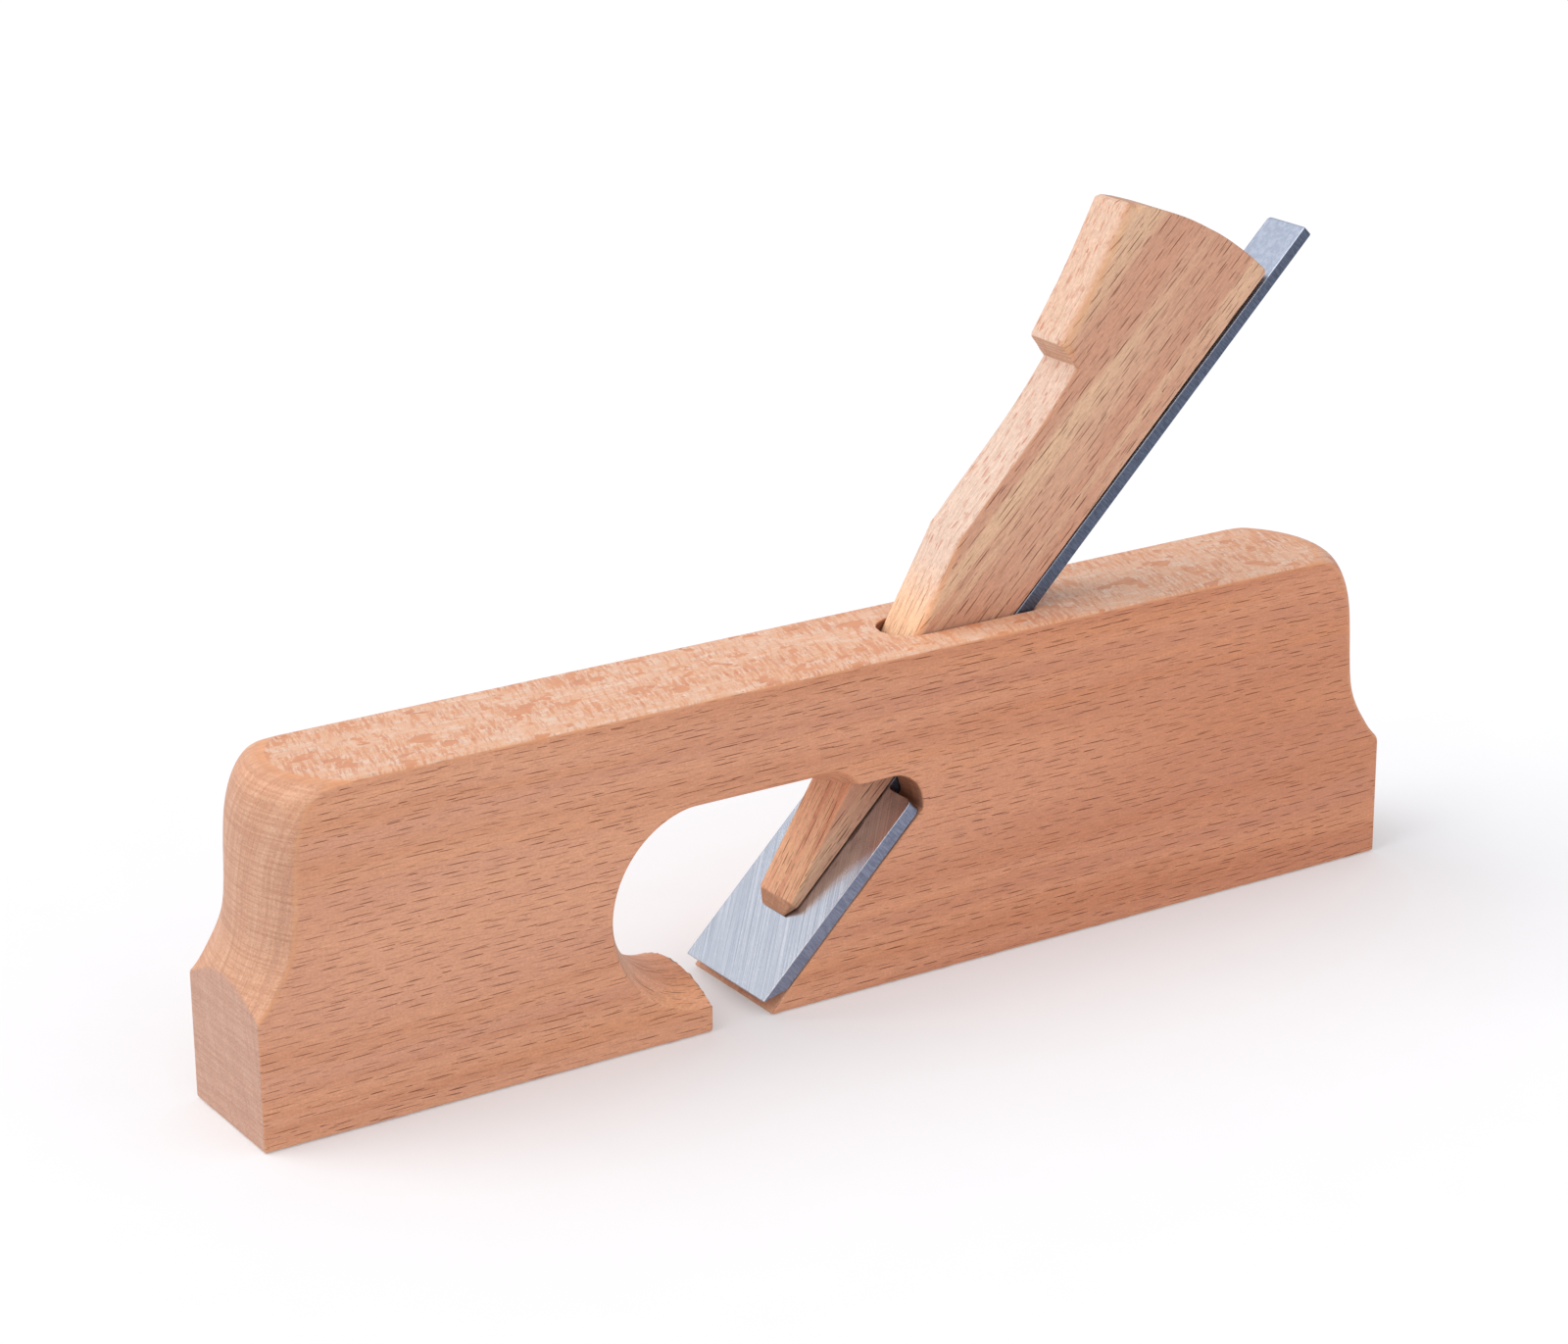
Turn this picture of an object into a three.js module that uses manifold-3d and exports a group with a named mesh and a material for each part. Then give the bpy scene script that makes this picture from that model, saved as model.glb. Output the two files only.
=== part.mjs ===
// Wooden rebate plane (hand plane): one-piece beech body with an open throat,
// a shouldered steel iron bedded at a common pitch, and a beech wedge.
// Millimetres. +X runs from toe to heel, +Y across the width, +Z up.
// The origin is the centre of the sole.
import * as THREE from 'three';
import { mergeVertices } from 'three/addons/utils/BufferGeometryUtils.js';
import Module from 'manifold-3d';

const wasm = await Module();
wasm.setup();
const { Manifold, Mesh: MMesh } = wasm;

// ---- driving dimensions ------------------------------------------------
const LENGTH = 270;            // toe to heel
const WIDTH = 30;              // across the sole
const HEIGHT = 70.5;           // sole to top
const EDGE_ROUND = 1.4;        // eased long arrises of the top

// Ends: the upper part is turned in plan about a vertical axis and set back
// above a full-length block, with a cove between the two.
const NOSE_AXIS_X = 105;
const NOSE_PROFILE = [         // [radius, height] from the block to the crown
  [34.0, 26.3], [32.8, 27.2], [31.35, 29.0], [29.85, 31.5], [28.5, 34.0], [27.35, 36.7],
  [26.6, 39.5], [26.15, 43.0], [25.9, 47.3], [25.7, 52.6], [25.35, 57.8],
  [24.8, 61.4], [24.05, 64.2], [23.15, 66.4], [22.1, 68.1], [20.85, 69.3],
  [19.3, 70.15], [17.2, 70.5],
];

// Bed: the inclined face that carries the iron.
const BED_ANGLE = 44.6 * Math.PI / 180;
const BED_X = -22.76;          // where the bed meets the sole
const BED_GAP = 0.3;           // iron to bed

// Throat: an eye bored through from side to side, flared towards both faces,
// with the flare run along the roof and out beside the wedge.
const MOUTH_X = -36.3;         // front wall of the mouth
const EYE_X = -37, EYE_Z = 27.3;
const EYE_R_MID = 17.4, EYE_R_FACE = 22.0, FLARE_POWER = 2.2;
const FLARE_END_X = -9.6, FLARE_END_R = 11.0;
const REAR_X = 7.0, REAR_Z = 37.6, REAR_R = 7.2;

// Mortise: from the throat up to the top, between the bed and the abutment.
const MORTISE_W = 12.8;
const ABUT_TAPER = 15.2 * Math.PI / 180;   // wedge angle
const ABUT_S = 44.3, ABUT_T = 11.4;        // a point on the wedge's front line
const ABUT_VOID = 2.4;         // centre line of the half-round, inside the wedge front

// Iron
const IRON_T = 3.1;            // thickness
const IRON_W = 29.6;           // blade width
const IRON_EDGE_S = 1.0;       // cutting edge, measured along the bed
const IRON_SHOULDER_S = 51.6;  // top of the full-width blade
const IRON_TOP_S = 198.5;      // top of the tang
const TANG_W = 12.0;
const THIN_S = 100, THIN_MID_S = 180;      // the tang gets thinner above the body
const THIN_MID_T = 2.70, THIN_TOP_T = 2.63, THIN_BACK_T = 0.15;
const HONE_ANGLE = 30 * Math.PI / 180;

// Wedge
const WEDGE_W = 12.0;
const WEDGE_GAP = 0.3;         // wedge to iron
const WEDGE_EDGE = 0.9;        // eased edges

// ---- helpers -------------------------------------------------------------
function solid(geometry) {
  const g = geometry.clone();
  g.deleteAttribute('normal');
  g.deleteAttribute('uv');
  const m = mergeVertices(g, 1e-5);
  const tri = new Uint32Array(m.index.array);
  const make = (t) => new Manifold(new MMesh({
    numProp: 3, vertProperties: new Float32Array(m.attributes.position.array), triVerts: t,
  }));
  let out = make(tri);
  if (out.volume() < 0) {
    const f = new Uint32Array(tri);
    for (let i = 0; i < f.length; i += 3) { const a = f[i + 1]; f[i + 1] = f[i + 2]; f[i + 2] = a; }
    out = make(f);
  }
  return out;
}

function toMesh(manifold, name, material) {
  const m = manifold.getMesh();
  const g = new THREE.BufferGeometry();
  const n = m.numProp, count = m.vertProperties.length / n;
  const pos = new Float32Array(count * 3);
  for (let i = 0; i < count; i++) for (let k = 0; k < 3; k++) pos[3 * i + k] = m.vertProperties[n * i + k];
  g.setAttribute('position', new THREE.BufferAttribute(pos, 3));
  g.setIndex(new THREE.BufferAttribute(new Uint32Array(m.triVerts), 1));
  const flat = g.toNonIndexed();
  flat.computeVertexNormals();
  const mesh = new THREE.Mesh(flat, material);
  mesh.name = name;
  return mesh;
}

const V = (x, y, z) => new THREE.Vector3(x, y, z);
function basis(x, y, z, o = V(0, 0, 0)) {
  return new THREE.Matrix4().makeBasis(x, y, z).setPosition(o);
}
const shapeOf = (pts) => new THREE.Shape(pts.map(([a, b]) => new THREE.Vector2(a, b)));

// outline in x and z, extruded across y between y0 and y1
function acrossY(shape, y0, y1, curveSegments = 24) {
  const g = new THREE.ExtrudeGeometry(shape, { depth: y1 - y0, bevelEnabled: false, curveSegments });
  g.applyMatrix4(basis(V(1, 0, 0), V(0, 0, 1), V(0, -1, 0), V(0, y1, 0)));
  return solid(g);
}
// outline in y and z, extruded along x between x0 and x1
function alongX(shape, x0, x1, curveSegments = 6) {
  const g = new THREE.ExtrudeGeometry(shape, { depth: x1 - x0, bevelEnabled: false, curveSegments });
  g.applyMatrix4(basis(V(0, 1, 0), V(0, 0, 1), V(1, 0, 0), V(x0, 0, 0)));
  return solid(g);
}

// bed frame: s up the bed, t square to it, origin where the bed meets the sole
const c = Math.cos(BED_ANGLE), sn = Math.sin(BED_ANGLE);
const U = V(c, 0, sn), N = V(-sn, 0, c), BED_O = V(BED_X, 0, 0);
const toXZ = ([s, t]) => [BED_X + s * c - t * sn, s * sn + t * c];

// ---- body ------------------------------------------------------------------
function noseSolid(x) {
  const pts = [[0, -1], [45, -1], [45, NOSE_PROFILE[0][1]], ...NOSE_PROFILE, [0, HEIGHT]];
  const g = new THREE.LatheGeometry(pts.map(([r, z]) => new THREE.Vector2(r, z)), 96);
  g.rotateX(Math.PI / 2);
  g.translate(x, 0, 0);
  return solid(g);
}

function section(w, h, r) {
  const s = new THREE.Shape();
  s.moveTo(-w / 2, 0); s.lineTo(w / 2, 0); s.lineTo(w / 2, h - r);
  s.absarc(w / 2 - r, h - r, r, 0, Math.PI / 2, false);
  s.lineTo(-w / 2 + r, h);
  s.absarc(-w / 2 + r, h - r, r, Math.PI / 2, Math.PI, false);
  s.lineTo(-w / 2, 0);
  return s;
}

const stock = alongX(section(WIDTH, HEIGHT, EDGE_ROUND), -LENGTH / 2, LENGTH / 2);
const middle = acrossY(shapeOf([[-NOSE_AXIS_X, -2], [NOSE_AXIS_X, -2], [NOSE_AXIS_X, HEIGHT + 2], [-NOSE_AXIS_X, HEIGHT + 2]]), -20, 20);
// the turned envelope of each end, kept only outside its own axis plane
const half = (x0, x1) => acrossY(shapeOf([[x0, -2], [x1, -2], [x1, HEIGHT + 2], [x0, HEIGHT + 2]]), -20, 20);
const toe = noseSolid(-NOSE_AXIS_X).intersect(half(-LENGTH / 2 - 5, -NOSE_AXIS_X + 0.01));
const heel = noseSolid(NOSE_AXIS_X).intersect(half(NOSE_AXIS_X - 0.01, LENGTH / 2 + 5));
let body = stock.intersect(middle.add(toe).add(heel));

// flare of the throat: cutter radius at each distance from the middle plane
const FY = [-17, -15, -13.4, -11.7, -9.8, -7.6, -5.2, -2.6, 0, 2.6, 5.2, 7.6, 9.8, 11.7, 13.4, 15, 17];
const flare = (y, rMid, rFace) => rMid + (rFace - rMid) * Math.pow(Math.abs(y) / (WIDTH / 2), FLARE_POWER);
function flaredBore(x, z, rMid, rFace, seg) {
  const pts = [[0, FY[0]], ...FY.map((y) => [flare(y, rMid, rFace), y]), [0, FY[FY.length - 1]]];
  const g = new THREE.LatheGeometry(pts.map(([r, y]) => new THREE.Vector2(r, y)), seg);
  g.translate(x, 0, z);
  return solid(g);
}
const eye = flaredBore(EYE_X, EYE_Z, EYE_R_MID, EYE_R_FACE, 96);
const runOutMid = FLARE_END_R - (EYE_R_FACE - EYE_R_MID);
const runOutZ = EYE_Z + EYE_R_FACE - FLARE_END_R;
const runOut = flaredBore(FLARE_END_X, runOutZ, runOutMid, FLARE_END_R, 64);
// the roof between the eye and the run-out, cut to the same flare
const roofPts = [[-17, EYE_Z], [17, EYE_Z], ...FY.slice().reverse().map((y) => [y, EYE_Z + flare(y, EYE_R_MID, EYE_R_FACE)])];
const roof = alongX(shapeOf(roofPts), EYE_X, FLARE_END_X, 1);

// the straight-through part of the throat: mouth, bed and round rear end
const bedAt = (s) => toXZ([s, 0]);
const roofMidZ = EYE_Z + EYE_R_MID;
const thr = new THREE.Shape();
const b0 = bedAt(-4), b1 = bedAt(51.7);
thr.moveTo(MOUTH_X, -2.81);
thr.lineTo(b0[0], b0[1]);
thr.lineTo(b1[0], b1[1]);
const a0 = Math.atan2(b1[1] - REAR_Z, b1[0] - REAR_X);
thr.absarc(REAR_X, REAR_Z, REAR_R, a0, Math.PI / 2, false);
thr.lineTo(EYE_X + 2, REAR_Z + REAR_R);
thr.lineTo(EYE_X + 2, EYE_Z);
thr.lineTo(MOUTH_X, EYE_Z - 6);
thr.lineTo(MOUTH_X, -2.81);
const straight = acrossY(thr, -20, 20, 28);

// mortise: a slab between the bed and the abutment's centre line, and the
// half-round front that the wedge bears in
const abutA = BED_ANGLE + ABUT_TAPER;
const W = [Math.cos(abutA), Math.sin(abutA)];            // up the abutment, in x and z
const M = [-Math.sin(abutA), Math.cos(abutA)];           // square to it, forwards
const pf = toXZ([ABUT_S, ABUT_T]);
const centreLine = (d) => [pf[0] + W[0] * d - M[0] * ABUT_VOID, pf[1] + W[1] * d - M[1] * ABUT_VOID];
const cLow = centreLine(-3), cHigh = centreLine(40);
const slab = acrossY(shapeOf([bedAt(44), bedAt(112), cHigh, cLow]), -MORTISE_W / 2, MORTISE_W / 2);
const drill = new THREE.LatheGeometry([[0, 0], [MORTISE_W / 2, 0], [MORTISE_W / 2, 43], [0, 43]].map(([r, h]) => new THREE.Vector2(r, h)), 48);
drill.applyMatrix4(basis(V(-M[0], 0, -M[1]), V(W[0], 0, W[1]), V(0, 1, 0), V(cLow[0], 0, cLow[1])));
const front = solid(drill);

body = body.subtract(eye.add(roof).add(runOut).add(straight)).subtract(slab).subtract(front);

// ---- iron ------------------------------------------------------------------
const bw = IRON_W / 2, tw = TANG_W / 2;
const iron2d = new THREE.Shape();
iron2d.moveTo(IRON_EDGE_S, -bw);
iron2d.lineTo(IRON_SHOULDER_S - 1.8, -bw);
iron2d.absarc(IRON_SHOULDER_S - 1.8, -bw + 1.8, 1.8, -Math.PI / 2, 0, false);
iron2d.lineTo(IRON_SHOULDER_S, -tw - 1.2);
iron2d.absarc(IRON_SHOULDER_S + 1.2, -tw - 1.2, 1.2, Math.PI, Math.PI / 2, true);
iron2d.lineTo(IRON_TOP_S - 0.3, -tw);
iron2d.lineTo(IRON_TOP_S, -tw + 0.3);
iron2d.lineTo(IRON_TOP_S, tw - 0.6);
iron2d.lineTo(IRON_TOP_S - 0.6, tw);
iron2d.lineTo(IRON_SHOULDER_S + 1.2, tw);
iron2d.absarc(IRON_SHOULDER_S + 1.2, tw + 1.2, 1.2, -Math.PI / 2, -Math.PI, true);
iron2d.lineTo(IRON_SHOULDER_S, bw - 1.8);
iron2d.absarc(IRON_SHOULDER_S - 1.8, bw - 1.8, 1.8, 0, Math.PI / 2, false);
iron2d.lineTo(IRON_EDGE_S, bw);
iron2d.lineTo(IRON_EDGE_S, -bw);
const ironG = new THREE.ExtrudeGeometry(iron2d, { depth: 12, bevelEnabled: false, curveSegments: 6 });
ironG.applyMatrix4(basis(U, V(0, 1, 0), N, BED_O.clone().addScaledVector(N, -4)));
// its thickness, seen from the side
const topLine = IRON_TOP_S + 2;
let iron = solid(ironG).intersect(acrossY(shapeOf([
  toXZ([IRON_EDGE_S - 2, BED_GAP]), toXZ([THIN_S, BED_GAP]), toXZ([topLine, THIN_BACK_T]),
  toXZ([topLine, THIN_TOP_T]), toXZ([THIN_MID_S, THIN_MID_T]), toXZ([THIN_S, BED_GAP + IRON_T]),
  toXZ([IRON_EDGE_S - 2, BED_GAP + IRON_T]),
]), -25, 25));
// honed bevel on the underside, leaving a 0.1 mm land at the edge
const faceT = BED_GAP + IRON_T, land = 0.1;
const e0 = [IRON_EDGE_S, faceT - land];
const run = 12;
iron = iron.subtract(acrossY(shapeOf([
  toXZ([IRON_EDGE_S - 5, faceT - land]), toXZ(e0),
  toXZ([IRON_EDGE_S + run, faceT - land - run * Math.tan(HONE_ANGLE)]),
  toXZ([IRON_EDGE_S - 5, faceT - land - run * Math.tan(HONE_ANGLE)]),
].reverse()), -25, 25));

// ---- wedge -----------------------------------------------------------------
const back = faceT + WEDGE_GAP;
const frontT = (s) => ABUT_T + (s - ABUT_S) * Math.tan(ABUT_TAPER);
const wedgePts = [
  [17.6, back], [185.1, back], [185.8, back + 0.7], [185.45, 9.3], [184.8, 13.6], [183.9, 18.0], [183.0, 21.5],
  [180.9, 28.0], [178.2, 34.2], [175.4, 39.6], [173.6, 42.6], [172.8, 42.9],
  [164.0, 40.1], [155.0, 37.6], [143.2, 35.0], [142.5, 34.4], [141.9, 28.8],
  [135.5, 27.9], [128.5, 27.25], [120.0, 26.9], [112.5, 26.8], [106.5, 26.7],
  [103.3, 26.5], [100.2, frontT(100.2)], [ABUT_S, ABUT_T], [20.4, 5.45],
];
const wedgeG = new THREE.ExtrudeGeometry(shapeOf(wedgePts), {
  depth: WEDGE_W - 2 * WEDGE_EDGE, bevelEnabled: true, bevelThickness: WEDGE_EDGE, bevelSize: WEDGE_EDGE,
  bevelOffset: -WEDGE_EDGE, bevelSegments: 2, curveSegments: 1,
});
wedgeG.applyMatrix4(basis(U, N, V(0, -1, 0), BED_O.clone().add(V(0, WEDGE_W / 2 - WEDGE_EDGE, 0))));
let wedge = solid(wedgeG);
// the two corners of the tongue's end, cut off at a slant
for (const side of [-1, 1]) {
  const g = new THREE.ExtrudeGeometry(shapeOf([
    [14, side * 3.6], [17.2, side * 3.6], [21.4, side * (WEDGE_W / 2 + 0.4)], [21.4, side * 12], [14, side * 12],
  ]), { depth: 14, bevelEnabled: false });
  g.applyMatrix4(basis(U, V(0, 1, 0), N, BED_O));
  wedge = wedge.subtract(solid(g));
}

// ---- assembly --------------------------------------------------------------
const beech = new THREE.MeshStandardMaterial({ color: 0xd09a78, roughness: 0.62, metalness: 0 });
const beechPale = new THREE.MeshStandardMaterial({ color: 0xdcae8c, roughness: 0.62, metalness: 0 });
const steel = new THREE.MeshStandardMaterial({ color: 0xa9b0bf, roughness: 0.35, metalness: 1 });

const plane = new THREE.Group();
plane.name = 'rebate_plane';
plane.add(toMesh(body, 'plane_body', beech));
plane.add(toMesh(iron, 'iron', steel));
plane.add(toMesh(wedge, 'wedge', beechPale));
export default plane;
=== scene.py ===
import math

import bpy
import numpy as np
from mathutils import Matrix, Vector


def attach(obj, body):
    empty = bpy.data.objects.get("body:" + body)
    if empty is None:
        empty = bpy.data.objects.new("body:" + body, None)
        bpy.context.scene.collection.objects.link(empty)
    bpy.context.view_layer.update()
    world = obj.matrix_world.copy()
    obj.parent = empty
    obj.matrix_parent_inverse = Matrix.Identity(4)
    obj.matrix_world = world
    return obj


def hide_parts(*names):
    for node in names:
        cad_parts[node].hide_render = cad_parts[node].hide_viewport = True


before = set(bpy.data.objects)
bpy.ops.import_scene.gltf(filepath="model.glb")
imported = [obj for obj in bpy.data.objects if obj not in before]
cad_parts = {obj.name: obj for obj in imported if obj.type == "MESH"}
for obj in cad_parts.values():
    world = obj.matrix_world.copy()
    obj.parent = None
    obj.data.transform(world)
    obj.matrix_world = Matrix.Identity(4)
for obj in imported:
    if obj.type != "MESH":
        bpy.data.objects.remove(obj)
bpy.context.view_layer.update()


# ---------------------------------------------------------------------------
# Driving sizes of the plane, in millimetres, the same as the CAD model's.
# +X toe to heel, +Y across, +Z up, origin at the centre of the sole.
# ---------------------------------------------------------------------------
LENGTH, WIDTH, HEIGHT = 270.0, 30.0, 70.5
NOSE_X = 105.0
NOSE = [(34.0, 26.3), (32.8, 27.2), (31.35, 29.0), (29.85, 31.5), (28.5, 34.0), (27.35, 36.7),
        (26.6, 39.5), (26.15, 43.0), (25.9, 47.3), (25.7, 52.6), (25.35, 57.8), (24.8, 61.4),
        (24.05, 64.2), (23.15, 66.4), (22.1, 68.1), (20.85, 69.3), (19.3, 70.1), (17.0, 70.5)]
BED = math.radians(44.6)
BED_X = -22.76
C, S = math.cos(BED), math.sin(BED)
MOUTH_X = -36.3
EYE_X, EYE_Z, EYE_MID, EYE_FACE, FLARE_P = -37.0, 27.3, 17.4, 22.0, 2.2
RUN_X, RUN_R = -9.6, 11.0
REAR_X, REAR_Z, REAR_R = 7.0, 37.6, 7.2
MORTISE = 6.4
ABUT = BED + math.radians(15.2)
ABUT_S, ABUT_T, ABUT_VOID = 44.3, 11.4, 2.4
TAPER = math.tan(math.radians(15.2))
BACK = 3.6
WEDGE_H = 6.0
BLADE_H, TANG_H = 14.8, 6.0
EDGE_S, SHOULDER_S, TOP_S = 1.0, 51.6, 198.5
IRON_LO, IRON_HI = 0.3, 3.4
MM = 0.001


# ---------------------------------------------------------------------------
# Distance fields and the mesher
# ---------------------------------------------------------------------------
def round_max(a, b, r):
    """Cut a by b, with the edge between them rounded to radius r."""
    return np.minimum(-r, np.maximum(a, b)) + np.hypot(np.maximum(r + a, 0), np.maximum(r + b, 0))


def step01(v):
    v = np.clip(v, 0.0, 1.0)
    return v * v * (3 - 2 * v)


def spline(points, n=8, ends=(False, False)):
    """Catmull-Rom through the points."""
    p = [np.array(q, float) for q in points]
    p = [2 * p[0] - p[1]] + p + [2 * p[-1] - p[-2]]
    out = []
    for i in range(1, len(p) - 2):
        for k in range(n):
            t = k / n
            out.append(0.5 * (2 * p[i] + (p[i + 1] - p[i - 1]) * t
                              + (2 * p[i - 1] - 5 * p[i] + 4 * p[i + 1] - p[i + 2]) * t * t
                              + (3 * p[i] - p[i - 1] - 3 * p[i + 1] + p[i + 2]) * t ** 3))
    out.append(p[-2])
    return [tuple(q) for q in out]


def arc(cx, cy, r, a0, a1, n=10):
    return [(cx + r * math.cos(a0 + (a1 - a0) * i / n), cy + r * math.sin(a0 + (a1 - a0) * i / n)) for i in range(n + 1)]


class Outline:
    """Signed distance to a closed outline in a plane, kept as a fine table."""

    def __init__(self, pts, pitch, margin=4.0):
        P = np.array(pts, float)
        lo, hi = P.min(0) - margin, P.max(0) + margin
        self.lo, self.h = lo, pitch
        nu, nv = (np.ceil((hi - lo) / pitch)).astype(int) + 1
        u = lo[0] + pitch * np.arange(nu)[:, None]
        v = lo[1] + pitch * np.arange(nv)[None, :]
        best = np.full((nu, nv), 1e9)
        inside = np.zeros((nu, nv), bool)
        for a, b in zip(P, np.roll(P, -1, 0)):
            e = b - a
            wu, wv = u - a[0], v - a[1]
            k = np.clip((wu * e[0] + wv * e[1]) / max(e @ e, 1e-12), 0, 1)
            best = np.minimum(best, (wu - k * e[0]) ** 2 + (wv - k * e[1]) ** 2)
            if a[1] != b[1]:
                crosses = (a[1] <= v) != (b[1] <= v)
                inside ^= crosses & (u < a[0] + (v - a[1]) * (b[0] - a[0]) / (b[1] - a[1]))
        self.table = np.where(inside, -1, 1) * np.sqrt(best)
        self.n = (nu, nv)

    def __call__(self, u, v):
        fu = np.clip((u - self.lo[0]) / self.h, 0, self.n[0] - 1.001)
        fv = np.clip((v - self.lo[1]) / self.h, 0, self.n[1] - 1.001)
        iu, iv = fu.astype(int), fv.astype(int)
        du, dv = fu - iu, fv - iv
        T = self.table
        return (T[iu, iv] * (1 - du) * (1 - dv) + T[iu + 1, iv] * du * (1 - dv)
                + T[iu, iv + 1] * (1 - du) * dv + T[iu + 1, iv + 1] * du * dv)


def steps(*segments):
    out = [segments[0][0]]
    for a, b, h in segments:
        n = max(1, int(round((b - a) / h)))
        out += list(np.linspace(a, b, n + 1)[1:])
    return np.array(out)


def gradient(f, P, h):
    g = np.empty_like(P)
    for k in range(3):
        d = np.zeros(3)
        d[k] = h
        g[:, k] = (f(*(P + d).T) - f(*(P - d).T)) / (2 * h)
    return g


def skin(f, xs, ys, zs):
    """A closed quad mesh of the zero level of f on a rectilinear grid, drawn onto the exact surface. Returns points, quads, normals."""
    D = f(xs[:, None, None], ys[None, :, None], zs[None, None, :])
    In = D < 0
    count = np.zeros([n - 1 for n in D.shape], np.int8)
    for i in (0, 1):
        for j in (0, 1):
            for k in (0, 1):
                count += In[i:D.shape[0] - 1 + i, j:D.shape[1] - 1 + j, k:D.shape[2] - 1 + k]
    active = (count > 0) & (count < 8)
    ident = np.full(active.shape, -1, np.int64)
    I, J, K = np.nonzero(active)
    ident[I, J, K] = np.arange(len(I))
    axes = (xs, ys, zs)
    total, number = np.zeros((len(I), 3)), np.zeros(len(I))
    for axis in range(3):
        others = [a for a in range(3) if a != axis]
        for p in (0, 1):
            for q in (0, 1):
                a = [I, J, K]
                a[others[0]] = a[others[0]] + p
                a[others[1]] = a[others[1]] + q
                b = list(a)
                b[axis] = b[axis] + 1
                va, vb = D[tuple(a)], D[tuple(b)]
                cross = (va < 0) != (vb < 0)
                t = np.where(cross, va / np.where(cross, va - vb, 1), 0)
                A = np.stack([axes[m][a[m]] for m in range(3)], 1)
                B = np.stack([axes[m][b[m]] for m in range(3)], 1)
                total += np.where(cross[:, None], A + t[:, None] * (B - A), 0)
                number += cross
    P0 = total / number[:, None]
    cell = np.stack([np.diff(xs)[I], np.diff(ys)[J], np.diff(zs)[K]], 1)
    P = P0.copy()
    for _ in range(4):
        g = gradient(f, P, 0.02)
        d = f(*P.T)
        move = -(d / np.maximum((g * g).sum(1), 0.3))[:, None] * g
        P = P0 + np.clip(P + np.clip(move, -0.4, 0.4) - P0, -0.62 * cell, 0.62 * cell)
    quads = []
    for axis in range(3):
        u, v = (axis + 1) % 3, (axis + 2) % 3
        a = [slice(None)] * 3
        b = [slice(None)] * 3
        a[axis], b[axis] = slice(None, -1), slice(1, None)
        for m in (u, v):
            a[m] = b[m] = slice(1, -1)
        out = In[tuple(a)] & ~In[tuple(b)]
        into = ~In[tuple(a)] & In[tuple(b)]
        for mask, turn in ((out, False), (into, True)):
            w = list(np.nonzero(mask))
            w[u] = w[u] + 1
            w[v] = w[v] + 1
            ring = []
            for du, dv in ((-1, -1), (0, -1), (0, 0), (-1, 0)):
                c = list(w)
                c[u] = w[u] + du
                c[v] = w[v] + dv
                ring.append(ident[tuple(c)])
            q = np.stack(ring, 1)
            quads.append(q[:, ::-1] if turn else q)
    N = gradient(f, P, 0.07)
    N /= np.maximum(np.linalg.norm(N, axis=1), 1e-9)[:, None]
    return P, np.concatenate(quads), N


def make_piece(name, P, quads, N, material, floats=()):
    me = bpy.data.meshes.new(name)
    me.vertices.add(len(P))
    me.vertices.foreach_set("co", (P * MM).astype(np.float32).ravel())
    me.loops.add(quads.size)
    me.loops.foreach_set("vertex_index", quads.astype(np.int32).ravel())
    me.polygons.add(len(quads))
    me.polygons.foreach_set("loop_start", np.arange(0, quads.size, 4, dtype=np.int32))
    me.update(calc_edges=True)
    me.validate()
    me.polygons.foreach_set("use_smooth", np.ones(len(me.polygons), bool))
    for key, values in floats:
        at = me.attributes.new(key, "FLOAT", "POINT")
        at.data.foreach_set("value", values.astype(np.float32))
    me.normals_split_custom_set_from_vertices([tuple(n) for n in N])
    me.materials.append(material)
    ob = bpy.data.objects.new(name, me)
    bpy.context.scene.collection.objects.link(ob)
    return ob


# ---------------------------------------------------------------------------
# Body: one piece of beech with an open throat, a mortise and turned ends
# ---------------------------------------------------------------------------
nose_outline = Outline([(-60, -6), (60, -6), (60, 26.3)] + spline(NOSE, 6) + [(0, HEIGHT), (-60, HEIGHT)], 0.12, 1.0)


def flare(y, mid, face):
    r = mid + (face - mid) * np.power(np.minimum(np.abs(y), 17.0) / (WIDTH / 2), FLARE_P)
    slope = (face - mid) * FLARE_P * np.power(np.minimum(np.abs(y), 17.0) / (WIDTH / 2), FLARE_P - 1) / (WIDTH / 2)
    return r, np.sqrt(1 + slope * slope)


def throat(x, y, z):
    r, k = flare(y, EYE_MID, EYE_FACE)
    eye = (np.hypot(x - EYE_X, z - EYE_Z) - r) / k
    run = (np.hypot(x - RUN_X, z - (EYE_Z + EYE_FACE - RUN_R)) - (r - RUN_R)) / k
    roof = np.maximum(np.maximum((z - EYE_Z - r) / k, EYE_Z - z), np.maximum(EYE_X - x, x - RUN_X))
    t = -(x - BED_X) * S + z * C
    up = np.where(x > REAR_X, np.hypot(x - REAR_X, z - REAR_Z) - REAR_R, z - REAR_Z - REAR_R)
    rear = np.where(z > REAR_Z, up, x - REAR_X - REAR_R)
    straight = np.maximum(np.maximum(-t, rear), MOUTH_X - x)
    return np.minimum(np.minimum(eye, run), np.minimum(roof, straight))


W2 = (math.cos(ABUT), math.sin(ABUT))
M2 = (-math.sin(ABUT), math.cos(ABUT))
_px = BED_X + ABUT_S * C - ABUT_T * S - M2[0] * ABUT_VOID - 3 * W2[0]
_pz = ABUT_S * S + ABUT_T * C - M2[1] * ABUT_VOID - 3 * W2[1]


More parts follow.
